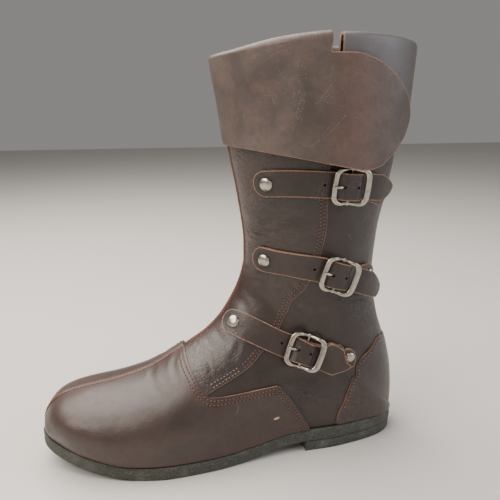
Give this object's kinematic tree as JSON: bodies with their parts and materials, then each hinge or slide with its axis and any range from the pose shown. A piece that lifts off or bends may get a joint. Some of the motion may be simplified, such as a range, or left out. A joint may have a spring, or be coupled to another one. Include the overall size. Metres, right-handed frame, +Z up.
{
  "type": "medieval boot",
  "caption": "Tall left leather boot with a turned down cuff, three buckled straps, a stitched vamp and a low rubber heel.",
  "frame": {"origin": "centre of the heel's flat underside, on the floor", "axes": "+Z up, -X towards the toe, -Y towards the outer side of the left foot"},
  "size_m": [0.3008, 0.122, 0.329],
  "materials": {
    "leather": "satin",
    "rubber": "matte",
    "lining": "matte",
    "steel": "brushed"
  },
  "bodies": {
    "root": {"upper": "leather", "outsole": "rubber", "heel": "rubber", "insole": "lining", "cuff": "leather", "strap_1": "leather", "chape_1": "leather", "buckle_1": "steel", "prong_1": "steel", "front_rivet_1": "steel", "back_rivet_1": "steel", "strap_2": "leather", "chape_2": "leather", "buckle_2": "steel", "prong_2": "steel", "front_rivet_2": "steel", "back_rivet_2": "steel", "strap_3": "leather", "chape_3": "leather", "buckle_3": "steel", "prong_3": "steel", "front_rivet_3": "steel", "back_rivet_3": "steel"}
  },
  "joints": []
}
